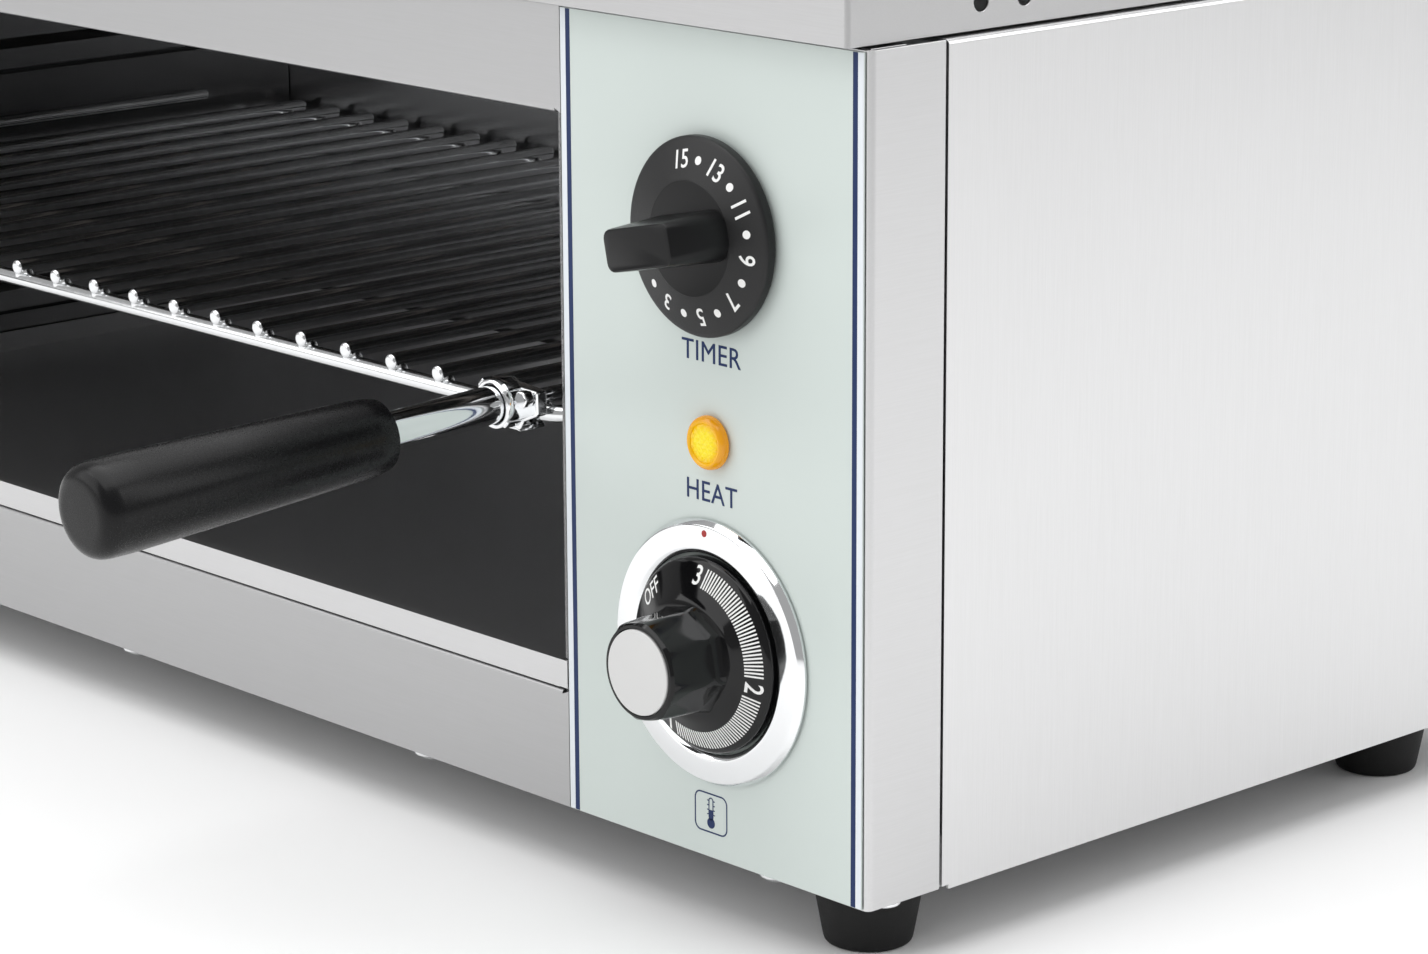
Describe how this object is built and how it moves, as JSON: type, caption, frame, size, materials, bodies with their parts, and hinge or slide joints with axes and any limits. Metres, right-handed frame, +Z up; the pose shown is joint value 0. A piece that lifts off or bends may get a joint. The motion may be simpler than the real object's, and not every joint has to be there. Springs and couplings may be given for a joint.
{
  "type": "salamander grill",
  "caption": "Countertop electric salamander grill: open steel cavity with a pull-out wire rack and crumb tray, overhanging vented lid, and a side control box with timer, lamp and heat knob.",
  "frame": {"origin": "centre of the whole object's box in plan, on the plane that the feet stand on", "axes": "+X to the control box's side (right seen from the front), +Y from the open front to the rear panel, +Z up"},
  "size_m": [0.61, 0.4476, 0.28],
  "materials": {
    "brushed_casing": "brushed stainless steel, satin",
    "cavity_steel": "stainless liner, semi-gloss",
    "tray_steel": "stainless sheet, semi-gloss",
    "panel_film": "printed polycarbonate film, satin",
    "insulation": "ceramic fibre blanket",
    "zinc_plate": "zinc-plated steel",
    "rack_chrome": "bright chrome-plated wire",
    "chrome": "polished chrome plate",
    "grip_plastic": "black phenolic plastic, satin",
    "element_sheath": "oxidised steel sheath",
    "knob_black": "black moulded plastic, satin, white print",
    "control_plastic": "black moulded plastic",
    "dial_gloss_black": "black moulded plastic, gloss, white print",
    "cap_white": "white printed disc",
    "lamp_amber": "amber lamp lens, lit",
    "ceramic_white": "white ceramic terminal block",
    "wire_red": "silicone-insulated wire",
    "wire_blue": "silicone-insulated wire",
    "rubber": "black rubber, matt"
  },
  "bodies": {
    "chassis": {"base_pan": "brushed_casing", "control_panel": "brushed_casing", "left_side_panel": "brushed_casing", "right_side_panel": "brushed_casing", "rear_panel": "brushed_casing", "top_lid": "brushed_casing", "upper_fascia": "brushed_casing", "lower_fascia": "brushed_casing", "cavity_left_wall": "cavity_steel", "cavity_right_wall": "cavity_steel", "cavity_back_wall": "cavity_steel", "cavity_floor": "cavity_steel", "ceiling_reflector": "cavity_steel", "element_hanger_left": "cavity_steel", "element_hanger_right": "cavity_steel", "panel_film": "panel_film", "roof_insulation": "insulation", "heat_shield": "zinc_plate", "rack_guide_left": "rack_chrome", "rack_guide_right": "rack_chrome", "heating_element_front": "element_sheath", "heating_element_rear": "element_sheath", "timer_body": "zinc_plate", "regulator_body": "control_plastic", "regulator_bezel": "chrome", "pilot_lamp_lens": "lamp_amber", "pilot_lamp_body": "control_plastic", "terminal_block": "ceramic_white", "wire_to_timer": "wire_red", "wire_to_regulator": "wire_blue", "wire_to_element": "wire_red", "cable_gland": "control_plastic", "foot_front_left": "rubber", "foot_screw_front_left": "zinc_plate", "foot_front_right": "rubber", "foot_screw_front_right": "zinc_plate", "foot_rear_left": "rubber", "foot_screw_rear_left": "zinc_plate", "foot_rear_right": "rubber", "foot_screw_rear_right": "zinc_plate", "base_screw_front_1": "chrome", "base_screw_front_2": "chrome", "base_screw_front_3": "chrome", "base_screw_front_4": "chrome", "base_screw_side": "chrome"},
    "rack": {"wire_rack": "rack_chrome", "handle_clamp_left": "chrome", "handle_screw_left": "chrome", "handle_rod_left": "chrome", "handle_grip_left": "grip_plastic", "handle_clamp_right": "chrome", "handle_screw_right": "chrome", "handle_rod_right": "chrome", "handle_grip_right": "grip_plastic"},
    "tray": {"crumb_tray": "tray_steel"},
    "timer_dial": {"timer_shaft": "zinc_plate", "timer_knob": "knob_black"},
    "heat_dial": {"regulator_shaft": "zinc_plate", "regulator_knob": "dial_gloss_black", "regulator_cap": "cap_white"}
  },
  "joints": [
    {"name": "rack_slide", "type": "slide", "parent": "chassis", "child": "rack", "axis": [0, -1, 0], "range_m": [0, 0.2]},
    {"name": "tray_slide", "type": "slide", "parent": "chassis", "child": "tray", "axis": [0, -1, 0], "range_m": [0, 0.22]},
    {"name": "timer_turn", "type": "hinge", "parent": "chassis", "child": "timer_dial", "pos_m": [0.2464, -0.07923, 0.1903], "axis": [0, 1, 0], "range_deg": [-262, 8]},
    {"name": "heat_turn", "type": "hinge", "parent": "chassis", "child": "heat_dial", "pos_m": [0.2472, -0.07923, 0.078], "axis": [0, 1, 0], "range_deg": [-315, 5]}
  ]
}
